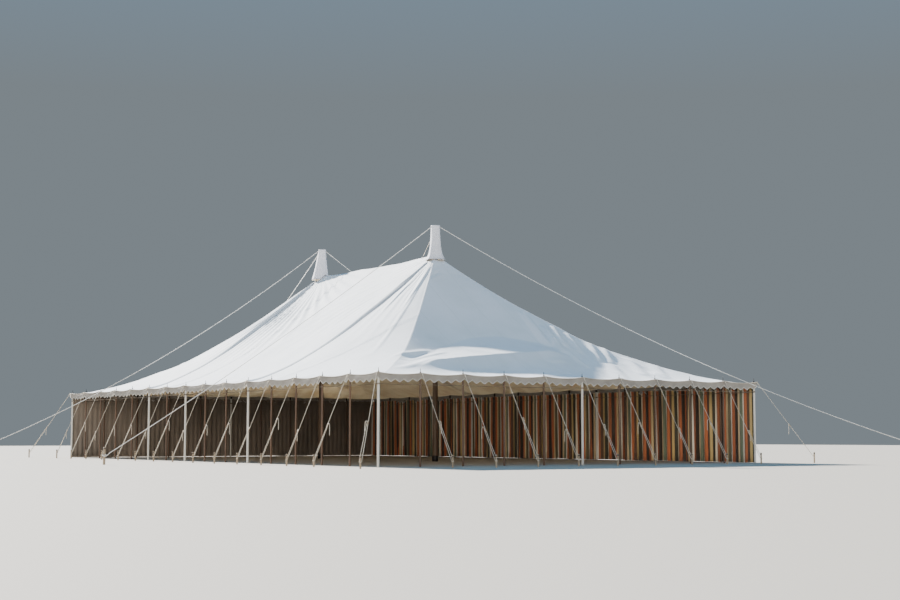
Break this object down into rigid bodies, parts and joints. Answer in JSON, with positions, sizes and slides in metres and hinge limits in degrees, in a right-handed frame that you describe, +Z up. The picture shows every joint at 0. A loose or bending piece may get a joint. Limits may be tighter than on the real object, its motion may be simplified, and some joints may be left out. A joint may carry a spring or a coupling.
{
  "type": "traditional canvas pole marquee tent",
  "caption": "Hipped white canvas pole marquee: hooded king poles, swept roof, toothed valance, timber side poles, guy ropes to stakes, and wall cloths hung on the back and far end.",
  "frame": {"origin": "middle of the plan on the ground, under the middle of the ridge", "axes": "+Z up; X along the ridge, with the near end towards +X; -Y towards the open long side at the front"},
  "size_m": [28.852, 22.06, 6.5503],
  "materials": {
    "roof_canvas": "matt cotton canvas, off white, weathered",
    "hood_canvas": "matt canvas, lilac white",
    "valance_canvas": "matt canvas, light grey with white binding",
    "king_pole_wood": "turned softwood, oiled",
    "side_pole_wood": "dark stained softwood with steel spikes",
    "dark_iron": "blackened iron with rope tackle",
    "cream_rope": "laid natural rope, cream, on wooden stakes",
    "striped_wall_cloth": "woven wall cloth with upright stripes in earth colours",
    "plain_wall_cloth": "plain grey brown wall cloth"
  },
  "bodies": {
    "root": {"roof_far_end": "roof_canvas", "roof_middle": "roof_canvas", "roof_near_end": "roof_canvas", "hood_far": "hood_canvas", "hood_near": "hood_canvas", "valance_front_far": "valance_canvas", "valance_front_middle": "valance_canvas", "valance_front_near": "valance_canvas", "valance_back_far": "valance_canvas", "valance_back_middle": "valance_canvas", "valance_back_near": "valance_canvas", "valance_far_end": "valance_canvas", "valance_near_end": "valance_canvas", "king_pole_far": "king_pole_wood", "king_pole_near": "king_pole_wood", "crown_ring_far": "dark_iron", "crown_ring_near": "dark_iron", "side_poles_front_far": "side_pole_wood", "side_poles_front_middle": "side_pole_wood", "side_poles_front_near": "side_pole_wood", "side_poles_back_far": "side_pole_wood", "side_poles_back_middle": "side_pole_wood", "side_poles_back_near": "side_pole_wood", "side_poles_far_end": "side_pole_wood", "side_poles_near_end": "side_pole_wood", "guys_front_far": "cream_rope", "guys_front_middle": "cream_rope", "guys_front_near": "cream_rope", "guys_back_far": "cream_rope", "guys_back_middle": "cream_rope", "guys_back_near": "cream_rope", "guys_far_end": "cream_rope", "guys_near_end": "cream_rope", "storm_guy_far_end": "cream_rope", "storm_guy_far_front": "cream_rope", "storm_guy_far_back": "cream_rope", "storm_guy_near_front": "cream_rope", "storm_guy_near_back": "cream_rope", "wall_back_far": "striped_wall_cloth", "wall_back_middle": "striped_wall_cloth", "wall_back_near": "striped_wall_cloth", "wall_far_end": "plain_wall_cloth"}
  },
  "joints": []
}
